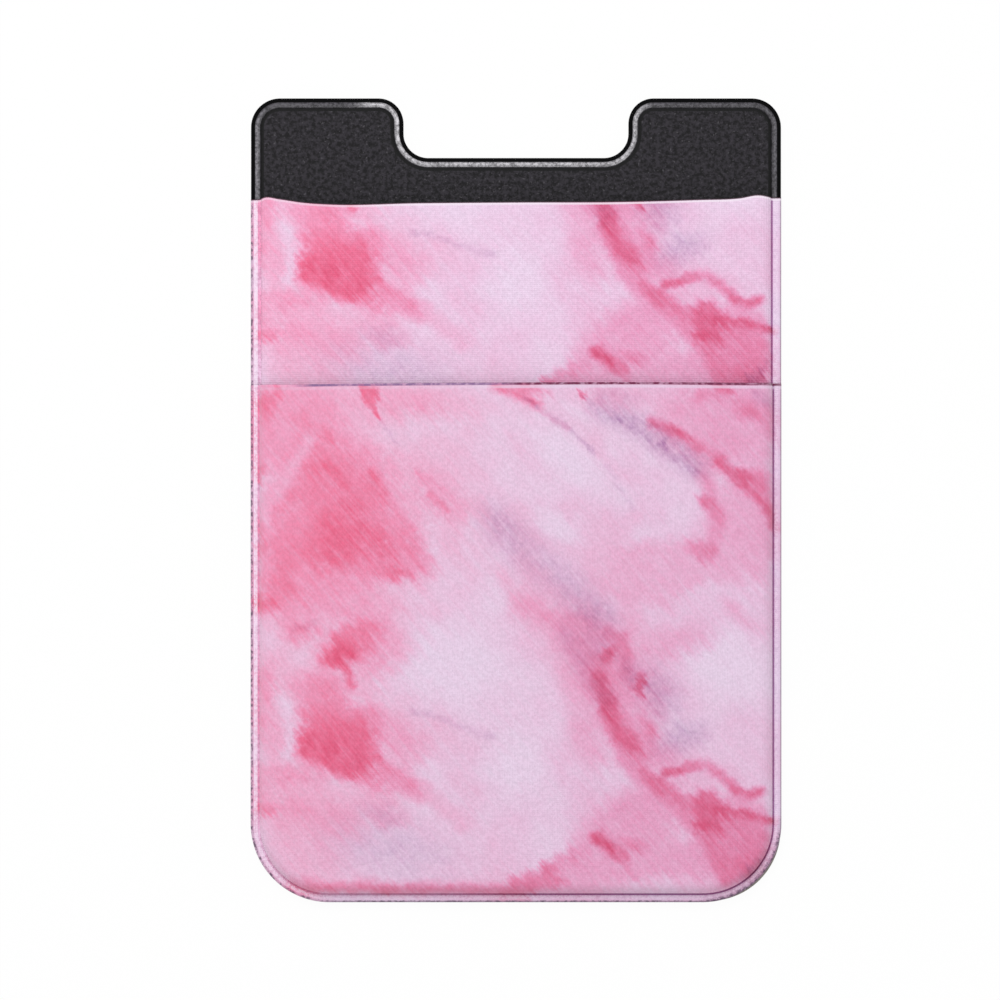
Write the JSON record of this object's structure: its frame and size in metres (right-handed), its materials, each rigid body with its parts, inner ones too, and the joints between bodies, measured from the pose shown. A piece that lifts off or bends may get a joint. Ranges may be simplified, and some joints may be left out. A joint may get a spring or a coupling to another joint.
{
  "type": "stick-on phone card holder",
  "caption": "Slim stick-on card holder with a thumb notch and layered open-topped fabric pockets welded to a flat leather-look back panel.",
  "frame": {"origin": "middle of the liner's back, on which the holder lies", "axes": "+X across the holder, +Y along it towards the thumb notch, +Z out of the pockets' face"},
  "size_m": [0.064, 0.097, 0.0037],
  "materials": {
    "liner_paper": "smooth coated paper, satin",
    "adhesive": "clear pale acrylic adhesive, glossy",
    "black_leatherette": "fine-grained matte black, glossy where it is pressed",
    "rear_print": "knitted stretch fabric with a pink and lilac marbled print",
    "front_print": "knitted stretch fabric with a pink and lilac marbled print"
  },
  "bodies": {
    "root": {"release_liner": "liner_paper", "adhesive_sheet": "adhesive", "back_panel": "black_leatherette", "rear_pocket": "rear_print", "front_pocket": "front_print"}
  },
  "joints": []
}
